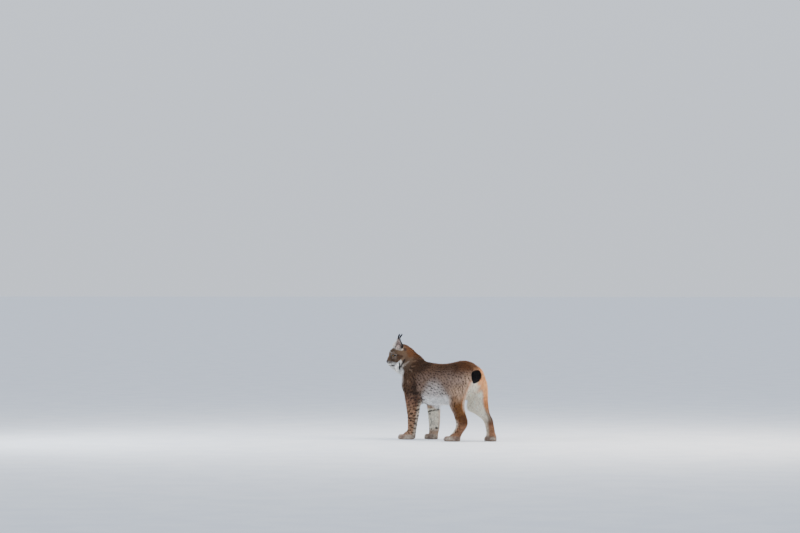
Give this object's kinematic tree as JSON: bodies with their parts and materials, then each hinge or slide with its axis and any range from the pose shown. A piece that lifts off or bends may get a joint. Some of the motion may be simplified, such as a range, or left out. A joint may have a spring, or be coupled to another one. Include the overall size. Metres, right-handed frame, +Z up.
{
  "type": "eurasian lynx",
  "caption": "Life-size standing wild cat in winter coat, with tufted ears, cheek ruff, spotted legs, broad furred paws and a short black-tipped tail; a still display model.",
  "frame": {"origin": "on the floor under the middle of the part's box", "axes": "+Z up, the animal faces -X, its left side faces -Y, and its soles stand on z = 0"},
  "size_m": [1.0124, 0.3232, 0.9082],
  "materials": {
    "coat_flank": "dense short fur, grey-brown",
    "coat_leg": "dense short fur, orange-brown",
    "coat_nape": "dense fur, rusty brown",
    "coat_pale": "pale grey-white fur",
    "black_fur": "black fur",
    "nose_leather": "moist dark leather",
    "eye": "polished amber eye"
  },
  "bodies": {
    "root": {"ear_left": "coat_pale", "ear_right": "coat_pale", "eye_left": "eye", "eye_right": "eye", "foreleg_left": "coat_leg", "foreleg_right": "coat_leg", "forepaw_left": "coat_leg", "forepaw_right": "coat_leg", "head": "coat_flank", "hindleg_left": "coat_leg", "hindleg_right": "coat_leg", "hindpaw_left": "coat_leg", "hindpaw_right": "coat_leg", "neck": "coat_nape", "nose": "nose_leather", "ruff_left": "coat_pale", "ruff_right": "coat_pale", "tail": "coat_leg", "tail_tip": "black_fur", "torso": "coat_flank"}
  },
  "joints": []
}
